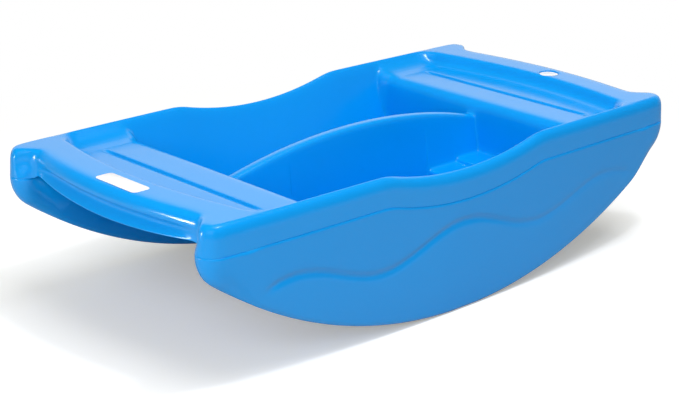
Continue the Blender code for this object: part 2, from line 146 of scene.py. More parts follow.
def rounding(start, top, radius, steps):
    """(place, height) points of a round edge that climbs from a wall at start and ends level at top."""
    points = []
    for step in range(steps + 1):
        angle = QUARTER_TURN * step / steps
        points.append((start + radius * (1 - math.cos(angle)), top - radius * (1 - math.sin(angle))))
    return points


floor_lines = [(x * MM, WELL_FLOOR) for x in (0, 25, 50, 75, 100, 125, 150, 168, 176)]
low_riser = [(0.1804, WELL_FLOOR + 0.0012), (0.1816, WELL_FLOOR + 0.006), (0.1834, LOW_STEP - 0.006),
             (0.1850, LOW_STEP - 0.0014), (0.1900, LOW_STEP)]
low_step_lines = [(x * MM, LOW_STEP) for x in (200, 212, 232, 252)]
high_riser = [(0.2612, LOW_STEP + 0.0004), (0.2628, LOW_STEP + 0.0022), (0.2643, HIGH_STEP - 0.0022),
              (0.2660, HIGH_STEP - 0.0004), (CORNER_FADE_FROM, HIGH_STEP)]
high_step_lines = [(0.2950, HIGH_STEP), (0.3220, HIGH_STEP)]
seat_wall = [(0.3295, HIGH_STEP + 0.0018), (0.3314, HIGH_STEP + 0.009)]
seat_wall += rounding(SEAT_WALL_X, SEAT, SEAT_WALL_ROUND, SEAT_WALL_STEPS)
x_lines = floor_lines + low_riser + low_step_lines + high_riser + high_step_lines + seat_wall
print(len(x_lines), "lines from the middle to the seat")

# %% Lines along the seat, its groove, the end of the pan and the rim
PAN_TOP_X = 0.533
GROOVE_DEPTH = 0.0055
GROOVE_END = 0.4390
EDGE_WIDTH = 0.0125
EDGE_HEIGHT = 0.021
EDGE_STEPS = 3
EDGE_RING = 0.026

x_lines += [(x * MM, SEAT) for x in (374, 398, 415, 423)]
x_lines += [(0.4252, SEAT - 0.0005), (0.4272, SEAT - 0.0048), (0.4310, SEAT - GROOVE_DEPTH)]
x_lines += [(0.4348, SEAT - 0.0048), (0.4368, SEAT - 0.0005), (GROOVE_END, SEAT)]
x_lines += [(0.4550, SEAT), (0.4740, SEAT)]
x_lines += [(PAN_TOP_X - inset * MM, SEAT) for inset in (45, 32, 23.5, 18, 14.8, 12.2, 10, 7.5, 4)]
x_lines += [(PAN_TOP_X, TOP), (0.5400, TOP), (0.5550, TOP)]
edge_insets = [(EDGE_RING, 0.0), (EDGE_WIDTH, 0.0)]
for step in range(1, EDGE_STEPS + 1):
    turn = QUARTER_TURN * step / EDGE_STEPS
    edge_insets.append((EDGE_WIDTH * (1 - math.sin(turn)), EDGE_HEIGHT * (1 - math.cos(turn))))
end_lines = [(EDGE_X - inset, drop) for inset, drop in edge_insets]
print(len(x_lines) + len(end_lines), "lines along half the length")

# %% [markdown]
# Across the width, a line says what it belongs to. It can be part of the divider (so many metres below its
# arch), of a fillet at the foot of a wall (so much above the floor), of the plain floor, of the flared side
# (so far inside the rim's crest), or of the rounded outer edge (so much below the crest).

# %% Lines across the width
DIVIDER, FOOT, FLOOR, SIDE_FOOT, SIDE, EDGE = range(6)
PAN_TOP_Y = 0.2896
SIDE_FOOT_RISE = 0.0100

divider_drops = [(0.0, 0.0), (0.0048, 0.0002), (0.0088, 0.0015), (0.0116, 0.0042), (0.0132, 0.0090),
                 (0.0150, 0.0230)]
divider_foot = [(0.0262, 0.0085), (0.0272, 0.0022), (0.0338, 0.0)]
well_side_foot = [(0.2215, 0.0), (0.2278, 0.0022), (0.2290, SIDE_FOOT_RISE)]
y_lines = [(y, DIVIDER, drop) for y, drop in divider_drops]
y_lines += [(y, FOOT, rise) for y, rise in divider_foot]
y_lines += [(y * MM, FLOOR, 0.0) for y in (65, 105, 145, 180, 206)]
y_lines += [(y, SIDE_FOOT, rise) for y, rise in well_side_foot]
for inset in (52.5, 46.5, 43.1, 39.5, 33.6, 27.5, 23.1, 18.5, 12, 7, 3.3, 0):
    y_lines.append((PAN_TOP_Y - inset * MM, SIDE, inset * MM))
for inset, drop in edge_insets[1:]:
    y_lines.append((EDGE_Y - inset, EDGE, drop))
print(len(y_lines), "lines across half the width")

# %% [markdown]
# ## Profiles of the rims
# The seat pan is a shallow dish: it falls away from the side rim in a long slope and from the end rim in a
# shorter, steeper one. Each slope is a short list of (distance inside the crest, drop), read off the
# photograph, and a straight line joins the points. In a corner of the pan the two slopes are mixed by how
# far round the corner a point lies, so neither of them stops with an edge.

# %% Slopes of the seat pan
SIDE_PROFILE = [(0.0, 0.0), (0.0033, 0.0018), (0.007, 0.0062), (0.012, 0.0115), (0.0185, 0.0165),
                (0.0275, 0.0207), (0.0395, 0.0241), (0.0525, 0.0259), (0.0665, 0.0265)]
END_PROFILE = [(0.0, 0.0), (0.004, 0.0004), (0.0075, 0.0018), (0.010, 0.0048), (0.0122, 0.0090),
               (0.0148, 0.0145), (0.018, 0.0193), (0.0235, 0.0232), (0.032, 0.0256), (0.045, 0.0265)]
PAN_ROUND = 0.0465
PAN_X = PAN_TOP_X - PAN_ROUND
PAN_Y = PAN_TOP_Y - PAN_ROUND


def profile_drop(profile, inset):
    """Drop below the crest at a distance inside it, read off a profile."""
    for (near, near_drop), (far, far_drop) in zip(profile, profile[1:]):
        if inset <= far:
            return near_drop + (far_drop - near_drop) * max(0.0, inset - near) / (far - near)
    return profile[-1][1]


print("drop half way down the side slope", round(profile_drop(SIDE_PROFILE, PAN_ROUND / 2), 4), "m")


# %% Mixing the slopes in a corner
def clamp(share):
    return min(1.0, max(0.0, share))


def ease(share):
    """Share from 0 to 1 that starts and stops softly."""
    share = clamp(share)
    return share * share * (3 - 2 * share)


def corner_share(along, across):
    """0 on the end side of a corner, 1 on its long side, and evenly in between."""
    if across < along:
        return 0.5 * across / along
    return 1.0 - 0.5 * along / across


def pan_drop(x, y):
    """Drop of the seat pan below the rim, with its corner blended between the end and the side."""
    along, across = x - PAN_X, y - PAN_Y
    if along <= 0 or across <= 0:
        end = profile_drop(END_PROFILE, PAN_ROUND - along)
        side = profile_drop(SIDE_PROFILE, PAN_ROUND - across)
        return min(end, side)
    inset = PAN_ROUND - max(along, across)
    share = ease(corner_share(along, across))
    return profile_drop(END_PROFILE, inset) * (1 - share) + profile_drop(SIDE_PROFILE, inset) * share


print("pan's drop at the start of its corner", round(pan_drop(PAN_X, PAN_Y), 4), "m")

# %% [markdown]
# ## Height of each crossing
# The height where two lines cross follows from both of them. On the divider it is the arch, on the floor it
# is the step or the seat that the line along X gives, and on the sides it is the higher one of the footwell's
# slope and the seat pan's. One function decides this for every crossing, so a change of a size moves all
# the vertices that depend on it.

# %% Heights of the side
CREST_PROFILE = [(0.0, 0.0), (0.0033, 0.0022), (0.007, 0.0078), (0.010, 0.0140)]
WELL_FOOT_INSET = 0.0606


def side_height(base, rim, pan, inset):
    """Height on the flared side, at a distance inside the rim's crest."""
    if inset <= 0:
        return rim
    well = rim - profile_drop(CREST_PROFILE, inset)
    crest_end = CREST_PROFILE[-1][0]
    if inset > crest_end:
        depth = (inset - crest_end) / (WELL_FOOT_INSET - crest_end)
        well -= depth * (well - WELL_FLOOR - SIDE_FOOT_RISE)
    climb = ease((base - HIGH_STEP) / (SEAT - HIGH_STEP))
    return max(well, base + (pan - SEAT) * climb)


half_way = side_height(WELL_FLOOR, TOP, SEAT, WELL_FOOT_INSET / 2)
print("the well's side is", round(half_way, 4), "m high half way down")

# %% Heights at the crossings
GROOVE_SPAN = (0.42, 0.45)
END_WALL_FROM = 0.44
FOOT_CLEARANCE = 0.010
SIDE_FOOT_FADE = 0.03


def crossing_height(x, base, end_drop, line):
    """Height where a line along (its place, height and drop below the end's crest) meets one across."""
    y, kind, value = line
    rim = rim_height(x)
    if kind == EDGE:
        return rim - max(value, end_drop)
    if x >= PAN_TOP_X:
        return TOP - end_drop
    if kind in (SIDE, SIDE_FOOT) and GROOVE_SPAN[0] < x < GROOVE_SPAN[1]:
        base = SEAT
    pan = TOP - pan_drop(x, y)
    if kind == SIDE:
        return side_height(base, rim, pan, value)
    height = base
    arch = arch_height(x)
    if kind == DIVIDER and x < ARCH_HALF:
        height = max(base, arch - value)
    if kind == FOOT and x < ARCH_HALF and arch - FOOT_CLEARANCE > base + value:
        height = base + value
    if kind == SIDE_FOOT:
        height = base + value * max(0.0, 1 - (base - WELL_FLOOR) / SIDE_FOOT_FADE)
    return max(height, pan) if x > END_WALL_FROM else height


middle_heights = [round(crossing_height(0.0, WELL_FLOOR, 0.0, line), 3) for line in y_lines]
print("heights across the middle:", middle_heights)

# %% [markdown]
# ## Place of each crossing in plan
# Seen from above, most crossings stay where their lines are. The grid is bent where the real toy is round:
# at the corners of the footwells, of the seat pans and of the whole deck, along the sides, which bow by a
# few millimetres, and at the two ends. There the grip bows outwards and runs with a soft flank into the
# round horn over each rocker hull. Moving the lines keeps one net of four-sided faces, where cutting round
# corners out of it would leave faces that Subdivision Surface can't smooth evenly.

# %% Outline of the end: bowed grip, flank and horn
NOSE_ROUND = 0.031
NOSE_X = EDGE_X - NOSE_ROUND
NOSE_Y = EDGE_Y - NOSE_ROUND
GRIP_HALF = 0.2315
GRIP_BOW = 0.0265
GRIP_INSET = 0.0015
GRIP_ROUNDER = 1.4
HULL_INNER = HALF_WIDTH - 0.0625
NOSE_MIDDLE = NOSE_Y - SIDE_BOW
NOSE_INNER_ROUND = NOSE_MIDDLE - HULL_INNER
FLANK_FROM = 0.190
OUTER_FLANK_POWER = 7
INNER_FLANK_POWER = 4


def end_bow(y):
    """How far the end has drawn back at this place across the width."""
    share = (abs(y) / GRIP_HALF) ** 2
    return GRIP_BOW * (share if share < 1 else 0.5 + 0.5 * share)


def end_outline(y, inset):
    """X of the end's outline at a distance inside it: the bowed grip, then the round nose of the hull."""
    grip = EDGE_X - GRIP_INSET - end_bow(y) - inset * GRIP_ROUNDER
    reach = clamp((y - FLANK_FROM) / (NOSE_MIDDLE - FLANK_FROM))
    power = OUTER_FLANK_POWER - (OUTER_FLANK_POWER - INNER_FLANK_POWER) * min(1.0, inset / EDGE_WIDTH)
    return grip + (EDGE_X - inset - grip) * reach ** power * (power + 1 - power * reach)


print("the end's outline:", [round(end_outline(y * MM, 0.0), 4) for y in (0, 100, 200, 250)])

# %% Plan of the crossings
WELL_CORNER = 0.035
WELL_CORNER_Y = 0.235
WELL_CORNER_REACH = 0.024
CORNER_FADE_OVER = 0.051
CORNER_BACK_AT = 0.415
CORNER_BACK_OVER = 0.055
SIDE_BOW_OVER = 0.022
END_RINGS_FROM = EDGE_X - 0.0261
TINY = 1e-6


def round_corner(x, y, centre_x, centre_y, reach):
    """Move a crossing of a square corner onto rings about a centre."""
    along, across = x - centre_x, y - centre_y
    size = max(along, across)
    if along <= 0 or across <= 0 or size > reach + TINY:
        return x, y
    angle = QUARTER_TURN * corner_share(along, across)
    return centre_x + size * math.cos(angle), centre_y + size * math.sin(angle)


def crossing_plan(x, y):
    """Plan place of one crossing of the first quarter."""
    into = min(WELL_CORNER_REACH, max(0.0, y - WELL_CORNER_Y))
    coming = clamp((x - CORNER_FADE_FROM) / CORNER_FADE_OVER)
    going = clamp((CORNER_BACK_AT - x) / CORNER_BACK_OVER)
    turn = min(coming, going)
    x -= turn * (WELL_CORNER - math.sqrt(WELL_CORNER ** 2 - into ** 2))
    new_x, new_y = round_corner(x, y, PAN_X, PAN_Y, PAN_ROUND)
    if (new_x, new_y) == (x, y):
        new_x, new_y = round_corner(x, y, NOSE_X, NOSE_Y, NOSE_ROUND)
    if x < END_RINGS_FROM:
        new_x -= end_bow(new_y) * clamp((x - GROOVE_END) / (PAN_X - GROOVE_END))
    new_y -= clamp((new_y - PAN_Y) / SIDE_BOW_OVER) * SIDE_BOW * (new_x / END_X) ** 2
    if x > END_RINGS_FROM and y < NOSE_Y:
        new_x = end_outline(new_y, EDGE_X - x)
    return new_x, new_y


print("the corner crossing of the horn:", [round(v, 4) for v in crossing_plan(EDGE_X, EDGE_Y)])

# %% [markdown]
# ## The deck cage
# bmesh.ops.create_grid makes a flat net with one vertex for each crossing, and the loop moves every vertex
# to its place. The operator gives its vertices in no promised order, so they are sorted by row and column
# first. This keeps the faces as the operator made them, and only the places are ours.

# %% Net of the upper skin
SORT_DIGITS = 5


def grid_net(mesh, along, across, first, second):
    """Flat grid of along by across vertices, sorted by one axis and then by the other."""
    net = bmesh.ops.create_grid(mesh, x_segments=along - 1, y_segments=across - 1, size=1.0)
    return sorted(net["verts"], key=lambda v: [round(v.co[axis], SORT_DIGITS) for axis in (first, second)])


def all_lines(half):
    """Both halves of a list of lines, as (sign, line)."""
    both = [(-1, line) for line in reversed(half) if line[0] > 0]
    return both + [(1, line) for line in half]


deck_mesh = bmesh.new()
columns = all_lines([(x, base, 0.0) for x, base in x_lines] + [(x, TOP, drop) for x, drop in end_lines])
rows = all_lines(y_lines)
for number, vertex in enumerate(grid_net(deck_mesh, len(columns), len(rows), 1, 0)):
    sign_x, (x, base, end_drop) = columns[number % len(columns)]
    sign_y, line = rows[number // len(columns)]
    plan_x, plan_y = crossing_plan(x, line[0])
    vertex.co = (sign_x * plan_x, sign_y * plan_y, crossing_height(x, base, end_drop, line))
print("deck net:", len(deck_mesh.faces), "faces")

# %% [markdown]
# ## The skirt below the edge
# The deck's outer wall goes down to the parting line, where it meets the hulls. It is extruded from the
# net's border, once for each row of a list. Each row has a drop below the rim's crest and, for the end
# grips, how far it stands out there: fingers find a groove under the grip, and below it a lip flares out.
# On the sides the wall is plain and ends in a step of less than a millimetre, because the parting line of
# the real toy shows as a fine light line. The step fades out at the ends, where the skirt has to follow the
# hull's round end.

# %% Rows of the skirt
SKIRT_ROWS = [
    (0.0245, -0.0018),
    (0.0285, -0.0066),
    (0.0325, -0.0100),
    (0.0365, -0.0100),
    (0.0405, -0.0078),
    (0.0450, -0.0044),
    (0.0495, -0.0006),
    (0.0518, 0.0014),
    (0.0535, 0.0012),
]
LIP_END_DROP = 0.0446
LIP_SAG = 0.01135
END_ZONE_FROM = NOSE_X - 0.02
GRIP_FADE_FROM = 0.220
GRIP_FADE_OVER = 0.021
print(len(SKIRT_ROWS), "rows, the groove is", -min(offset for _, offset in SKIRT_ROWS), "m deep")


# %% Direction in which the skirt stands out
def is_on_end(source):
    return abs(source.x) > END_ZONE_FROM


def grip_share(source):
    """1 on the grip, 0 on the sides and round the horns, and eased in between."""
    if not is_on_end(source):
        return 0.0
    return 1.0 - ease((abs(source.y) - GRIP_FADE_FROM) / GRIP_FADE_OVER)


def outward(source):
    """Plan direction away from the deck at a point of its edge, for the first quarter."""
    along, across = abs(source.x), abs(source.y)
    away = Vector((0.0, 1.0))
    if is_on_end(source) and across >= NOSE_MIDDLE and along > NOSE_X:
        away = Vector((along - NOSE_X, across - NOSE_MIDDLE))
    if is_on_end(source) and across < NOSE_MIDDLE:
        away = Vector((max(0.0, along - END_X + NOSE_INNER_ROUND), across - NOSE_MIDDLE))
    if is_on_end(source) and across < GRIP_FADE_FROM + GRIP_FADE_OVER:
        away = away.normalized().lerp(Vector((1.0, 0.0)), grip_share(source))
    away.normalize()
    return away


print("outwards on the grip:", list(outward(Vector((EDGE_X, 0.0, 0.0)))))

# %% Places of the skirt's points
SEAM_STEP = 0.0007
STEP_FADE_FROM = 0.570
STEP_FADE_OVER = 0.025
GROOVE_FADE_FROM = 0.150
GROOVE_FADE_OVER = 0.090


def seam_step(source):
    """How far the side's wall stays back from the hull below it."""
    return SEAM_STEP * (1.0 - ease((abs(source.x) - STEP_FADE_FROM) / STEP_FADE_OVER))


def flared(source, drop):
    """The edge's point above, moved out towards the hull's round end between the grip and the horn."""
    across = abs(source.y)
    if not (is_on_end(source) and HULL_INNER < across < NOSE_MIDDLE):
        return source
    off_nose = NOSE_MIDDLE - across
    hull_x = END_X - NOSE_INNER_ROUND + math.sqrt(NOSE_INNER_ROUND ** 2 - off_nose ** 2) - seam_step(source)
    flare = ease((drop - EDGE_HEIGHT) / (SEAM_DROP - EDGE_HEIGHT))
    way_out = max(0.0, hull_x - RIM_DRAFT - abs(source.x)) * flare
    return source + Vector((math.copysign(way_out, source.x), 0, 0))


def skirt_place(source, drop, grip_offset):
    """A point of the skirt, from the point of the deck's edge above it."""
    across = abs(source.y)
    share = grip_share(source)
    away = outward(source)
    hull_offset = (RIM_DRAFT - seam_step(source)) * (drop - EDGE_HEIGHT) / (SEAM_DROP - EDGE_HEIGHT)
    grip_offset *= 1.0 - ease((across - GROOVE_FADE_FROM) / GROOVE_FADE_OVER)
    offset = hull_offset + (grip_offset - hull_offset) * share
    lip_drop = LIP_END_DROP + LIP_SAG * (1.0 - (across / GRIP_HALF) ** 2)
    grip_drop = EDGE_HEIGHT + (drop - EDGE_HEIGHT) * (lip_drop - EDGE_HEIGHT) / (SEAM_DROP - EDGE_HEIGHT)
    source = flared(source, drop)
    x = source.x + offset * math.copysign(away.x, source.x)
    y = source.y + offset * away.y * (1 if source.y > 0 else -1)
    return Vector((x, y, rim_height(source.x) - drop - (grip_drop - drop) * share))


lip = skirt_place(Vector((EDGE_X - GRIP_INSET, 0.0, TOP)), *SKIRT_ROWS[-1])
print("the grip's lip ends at", [round(v, 4) for v in lip])

# %% Extrude the skirt and turn the faces outwards
PLACE_DIGITS = 7


def place_key(place):
    return tuple(round(c, PLACE_DIGITS) for c in place)


def turn_outwards(mesh, nearness, upwards):
    """Make the faces agree, then turn them all if the one that nearness picks looks the wrong way."""
    bmesh.ops.recalc_face_normals(mesh, faces=mesh.faces)
    known = min(mesh.faces, key=nearness)
    if known.normal.z * upwards < 0:
        bmesh.ops.reverse_faces(mesh, faces=mesh.faces)


border = [edge for edge in deck_mesh.edges if edge.is_boundary]
above = {vertex: vertex.co.copy() for edge in border for vertex in edge.verts}
for drop, grip_offset in SKIRT_ROWS:
    made = bmesh.ops.extrude_edge_only(deck_mesh, edges=border)["geom"]
    by_place = {place_key(vertex.co): source for vertex, source in above.items()}
    above = {}
    for vertex in (item for item in made if isinstance(item, bmesh.types.BMVert)):
        source = by_place[place_key(vertex.co)]
        above[vertex] = source
        vertex.co = skirt_place(source, drop, grip_offset)
    border = [item for item in made if isinstance(item, bmesh.types.BMEdge) and item.is_boundary]
turn_outwards(deck_mesh, lambda face: face.calc_center_median().xy.length, 1)
print("deck cage:", len(deck_mesh.faces), "faces")

# %% [markdown]
# ## Nodes that the materials share
# A procedural material is a small chain of nodes: a noise texture in the object's own coordinates, then
# something that turns its grey value into a colour, a roughness or a bump. The chain repeats, so each link
# of it is a helper.


# %% Helpers that add nodes
def add_noise(tree, place, scale, detail):
    noise = tree.nodes.new("ShaderNodeTexNoise")
    noise.inputs["Scale"].default_value = scale
    noise.inputs["Detail"].default_value = detail
    tree.links.new(place, noise.inputs["Vector"])
    return noise.outputs["Fac"]


def add_tint(tree, factor, first, second):
    """Colour that goes from the first to the second with a factor."""
    tint = tree.nodes.new("ShaderNodeMix")
    tint.data_type = "RGBA"
    tint.inputs["A"].default_value = (*first, 1.0)
    tint.inputs["B"].default_value = (*second, 1.0)
    tree.links.new(factor, tint.inputs["Factor"])
    return tint.outputs["Result"]


def add_range(tree, value, start, end, low=0.0, high=1.0, interpolation="LINEAR"):
    """Value between start and end, stretched to between low and high."""
    span = tree.nodes.new("ShaderNodeMapRange")
    span.interpolation_type = interpolation
    span.inputs["From Min"].default_value = start
    span.inputs["From Max"].default_value = end
    span.inputs["To Min"].default_value = low
    span.inputs["To Max"].default_value = high
    tree.links.new(value, span.inputs["Value"])
    return span.outputs["Result"]


def add_bump(tree, height, strength, distance):
    bump = tree.nodes.new("ShaderNodeBump")
    bump.inputs["Strength"].default_value = strength
    bump.inputs["Distance"].default_value = distance
    tree.links.new(height, bump.inputs["Height"])
    return bump


node_helpers = (add_noise, add_tint, add_range, add_bump)
print("helpers for nodes:", [helper.__name__ for helper in node_helpers])

# %% [markdown]
# ## Blue polyethylene
# Moulded polyethylene is a strong even colour with a satin shine. Up close its surface is never quite flat:
# it has a fine orange peel from the mould and slow waves from uneven cooling. Four noise textures make
# this. A broad one lets the colour drift a little, a smaller one varies the roughness by up to 0.03, and the
# last two drive weak bumps: a fine one for the peel, and on top of it a slow one for the waves.

# %% Plastic material
DRIFT_SCALE, DRIFT_DETAIL = 3.5, 3.0
PATCH_SCALE, PATCH_DETAIL = 26.0, 4.0
PATCH_LOW, PATCH_HIGH = 0.3, 0.7
ROUGHNESS_SWING = 0.03
PEEL_SCALE, PEEL_DETAIL, PEEL_HEIGHT = 300.0, 2.0, 0.0004
SLOW_SCALE, SLOW_DETAIL, SLOW_HEIGHT = 9.0, 1.0, 0.0012
SLOW_STRENGTH = 0.12
PLASTIC_IOR = 1.52


def satin_plastic(name, colour, shade, roughness, peel):
    """Moulded plastic: colour drifts towards shade, roughness varies a little, peel sets the fine bump."""
    material = bpy.data.materials.new(name)
    material.use_nodes = True
    tree = material.node_tree
    shader = tree.nodes["Principled BSDF"]
    place = tree.nodes.new("ShaderNodeTexCoord").outputs["Object"]
    drift = add_noise(tree, place, DRIFT_SCALE, DRIFT_DETAIL)
    tree.links.new(add_tint(tree, drift, colour, shade), shader.inputs["Base Color"])
    patches = add_noise(tree, place, PATCH_SCALE, PATCH_DETAIL)
    gloss = add_range(tree, patches, PATCH_LOW, PATCH_HIGH,
                      low=roughness - ROUGHNESS_SWING, high=roughness + ROUGHNESS_SWING)
    tree.links.new(gloss, shader.inputs["Roughness"])
    fine = add_bump(tree, add_noise(tree, place, PEEL_SCALE, PEEL_DETAIL), peel, PEEL_HEIGHT)
    slow = add_bump(tree, add_noise(tree, place, SLOW_SCALE, SLOW_DETAIL), SLOW_STRENGTH, SLOW_HEIGHT)
    tree.links.new(fine.outputs["Normal"], slow.inputs["Normal"])
    tree.links.new(slow.outputs["Normal"], shader.inputs["Normal"])
    shader.inputs["IOR"].default_value = PLASTIC_IOR
    return material


print("the peel is", PEEL_HEIGHT, "m high and the waves are", SLOW_HEIGHT, "m")

# %% Blue of the deck and of the hulls
BLUE = (0.0, 0.330, 0.860)
DEEP_BLUE = (0.0, 0.310, 0.820)
deck_plastic = satin_plastic("blue_polyethylene_deck", BLUE, DEEP_BLUE, roughness=0.19, peel=0.04)
hull_plastic = satin_plastic("blue_polyethylene_hulls", BLUE, DEEP_BLUE, roughness=0.22, peel=0.06)
print("materials:", deck_plastic.name, hull_plastic.name)

# %% [markdown]
# ## From a cage to a piece
# Every piece of the toy ends the same way: its bmesh becomes an object with one material, stands for its
# CAD node and rides on the frame. A few helpers say this once. Subdivision Surface turns
# the deck's cage into smooth plastic, and Solidify gives it the wall of a real moulding, inwards, so that
# the outside stays where it is.


# %% Helpers that finish a piece
def link_mesh(name, source):
    """Turn a bmesh into an object of the scene, and free the bmesh."""
    mesh = bpy.data.meshes.new(name)
    source.to_mesh(mesh)
    source.free()
    thing = bpy.data.objects.new(name, mesh)
    bpy.context.scene.collection.objects.link(thing)
    return thing


def new_piece(name, source, node, slot, material):
    """Make an object from a bmesh, ride it on the frame and let it stand for its CAD node."""
    piece = link_mesh(name, source)
    piece.data.shade_smooth()
    piece.data.materials.append(material)
    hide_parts(node)
    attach(piece, "root")
    print(name, "starts with", len(piece.data.polygons), "faces")
    return piece


def add_smoothing(piece, levels):
    smooth = piece.modifiers.new("smooth", "SUBSURF")
    smooth.levels = levels
    smooth.render_levels = levels
    smooth.boundary_smooth = "PRESERVE_CORNERS"


def add_wall(piece, thickness):
    wall = piece.modifiers.new("wall", "SOLIDIFY")
    wall.thickness = thickness
    wall.offset = -1.0
    wall.use_even_offset = True


piece_helpers = (link_mesh, new_piece, add_smoothing, add_wall)
print("helpers for a piece:", [helper.__name__ for helper in piece_helpers])

# %% [markdown]
# ## The deck shell and its vent hole
# The plug sits in a real hole in the skin. A short cylinder cuts it with a Boolean modifier. The modifiers
# are then applied, so that the cutter can be thrown away and the piece is a plain mesh.

# %% Deck shell
deck_shell = new_piece("deck_shell", deck_mesh, "deck_moulding", "deck_blue_plastic", deck_plastic)
add_smoothing(deck_shell, 1)
add_wall(deck_shell, WALL)

# %% Cut the vent hole
PLUG_X = END_X - 0.05525
PLUG_Y = -0.026
PLUG_RADIUS = 0.021
CUTTER_DEPTH = 0.03
ROUND_SEGMENTS = 64

cutter_mesh = bmesh.new()
cutter_place = Matrix.Translation((PLUG_X, PLUG_Y, TOP))
bmesh.ops.create_cone(cutter_mesh, cap_ends=True, segments=ROUND_SEGMENTS, radius1=PLUG_RADIUS,
                      radius2=PLUG_RADIUS, depth=CUTTER_DEPTH, matrix=cutter_place)
cutter = link_mesh("vent_hole_cutter", cutter_mesh)
hole = deck_shell.modifiers.new("vent_hole", "BOOLEAN")
hole.operation = "DIFFERENCE"
hole.solver = "EXACT"
hole.object = cutter
bpy.context.view_layer.update()
finished = bpy.data.meshes.new_from_object(deck_shell.evaluated_get(bpy.context.evaluated_depsgraph_get()))
deck_shell.modifiers.clear()
deck_shell.data = finished
finished.name = "deck_shell"
bpy.data.objects.remove(cutter, do_unlink=True)
print("deck shell with its wall and its hole:", len(finished.polygons), "faces")

# %% [markdown]
# ## Rocker hulls
# Each hull is a hollow wall that follows the floor in one long arc, and the arc runs into a smaller one at
# each end. A loft makes it: a flat net whose columns are moved onto cross-sections of the hull, one station
# after another from one end of the toy to the other. The stations lie on the outline of the sole, so they
# come first.

# %% Outline of the sole
GAP = 0.0001
END_RADIUS = 0.067
SOLE_FLAT = 0.070
SOLE_END_DROP = 0.00365
STATION_STEP = 0.0085
SIDE_ROWS = 20
corner_x = END_X - END_RADIUS
corner_z = seam_height(END_X) - SOLE_END_DROP
square = corner_x ** 2 + corner_z ** 2 - END_RADIUS ** 2
ROCKER = square / (2 * (corner_z - END_RADIUS))
LIFT = ROCKER - math.sqrt(ROCKER ** 2 - (SOLE_FLAT / 2) ** 2)
tangent_angle = math.asin(corner_x / (ROCKER - END_RADIUS))


def sole_stations():
    """(x, z, inward x, inward z) along the lower outline, from the middle to one end."""
    stations = []
    count = int(ROCKER * math.sin(tangent_angle) / STATION_STEP)
    for number in range(count):
        x = ROCKER * math.sin(tangent_angle) * number / count
        angle = math.asin(x / ROCKER)
        level = ROCKER - math.sqrt(ROCKER ** 2 - x ** 2) - LIFT
        stations.append((x, max(level, 0.0), -math.sin(angle), math.cos(angle)))
    for step in range(SIDE_ROWS):
        angle = tangent_angle + (QUARTER_TURN - tangent_angle) * step / (SIDE_ROWS - 1)
        x = corner_x + END_RADIUS * math.sin(angle)
        z = corner_z - END_RADIUS * math.cos(angle) - LIFT
        stations.append((x, z, -math.sin(angle), math.cos(angle)))
    stations.append((END_X, seam_height(END_X) - GAP, -1.0, 0.0))
    return stations


stations = sole_stations()
first_corner = len(stations) - SIDE_ROWS - 1
print("rocker radius", round(ROCKER, 4), "m,", len(stations), "stations to each end")

# %% [markdown]
# ## Rounded lower edge
# The sole meets the side in a rounded edge, small along the middle and growing towards the ends, until the
# hull's end is as round as the horn above it. A station gives the direction inwards, so the rounding is a
# quarter circle in the plane of that direction and the width. Round the end's corner, the points where this
# quarter circle leaves the side are kept in a list, because the rows of the side end on them.

# %% Rounding of the lower edge
SOLE_EDGE = 0.009
END_EDGE = NOSE_ROUND + RIM_DRAFT
ROUNDER_FROM = END_X - 0.110
ROUNDEST_AT = END_X - 0.026


def edge_radius(x, end_radius):
    share = clamp((x - ROUNDER_FROM) / (ROUNDEST_AT - ROUNDER_FROM))
    return SOLE_EDGE + (end_radius - SOLE_EDGE) * ease(share)


def edge_point(station, radius, share):
    """A point of the rounded lower edge: share 0 on the side, 1 on the sole."""
    x, z, inward_x, inward_z = station
    angle = QUARTER_TURN * share
    inward = radius * (1 - math.sin(angle))
    return x + inward_x * inward, radius * (1 - math.cos(angle)), z + inward_z * inward


def foot_point(station):
    """(x, y, z) where the rounded edge leaves the side of the hull."""
    foot_x, _, foot_z = edge_point(station, edge_radius(station[0], END_EDGE), 0)
    return foot_x, side_y(foot_x), foot_z


corner_feet = [foot_point(station) for station in stations[first_corner:]]
corner_rise = corner_feet[-1][2] - corner_feet[0][2]
foot_shares = [(foot[2] - corner_feet[0][2]) / corner_rise for foot in reversed(corner_feet[1:])]
print("the end's corner rises", round(corner_rise, 4), "m over", len(corner_feet), "feet")

# %% [markdown]
# ## The wave in the side
# A soft wave is pressed into each hull's side. Its upper edge is the steeper one, so it reads as a thin
# shaded line with a lighter slope below. It is a cosine along the side, and across the wave its depth is a
# bell curve, which has no edge of its own. The wave is shallower towards the right, as the real one is, and
# fades out before it reaches the round ends.

# %% Wave relief
WAVE_LEVEL = 0.151
WAVE_AMPLITUDE = 0.0245
WAVE_LENGTH = 0.412
WAVE_SHIFT = -0.010
WAVE_DEPTH = 0.0033
WAVE_REACH = 0.497
WAVE_FADE = 0.035
UPPER_SPREAD = 0.0062
LOWER_SPREAD = 0.0085
RIGHT_LOSS = 0.6
RIGHT_LOSS_FROM = 0.02
RIGHT_LOSS_OVER = 0.30


def wave_height(x):
    return WAVE_LEVEL + WAVE_AMPLITUDE * math.cos(2 * math.pi * (x - WAVE_SHIFT) / WAVE_LENGTH)


def wave_depth(x, z):
    """How far the relief lies below the side's surface."""
    over_wave = z - wave_height(x)
    spread = UPPER_SPREAD if over_wave > 0 else LOWER_SPREAD
    fade = (WAVE_REACH - abs(x)) / WAVE_FADE
    depth = WAVE_DEPTH * (1 - RIGHT_LOSS * ease((x - RIGHT_LOSS_FROM) / RIGHT_LOSS_OVER))
    return depth * math.exp(-(over_wave / spread) ** 2) * ease(fade)


left_depth, right_depth = (wave_depth(x, wave_height(x)) for x in (-DIP_HALF, DIP_HALF))
print("the wave is", round(left_depth, 4), "m deep at the left and", round(right_depth, 4), "at the right")

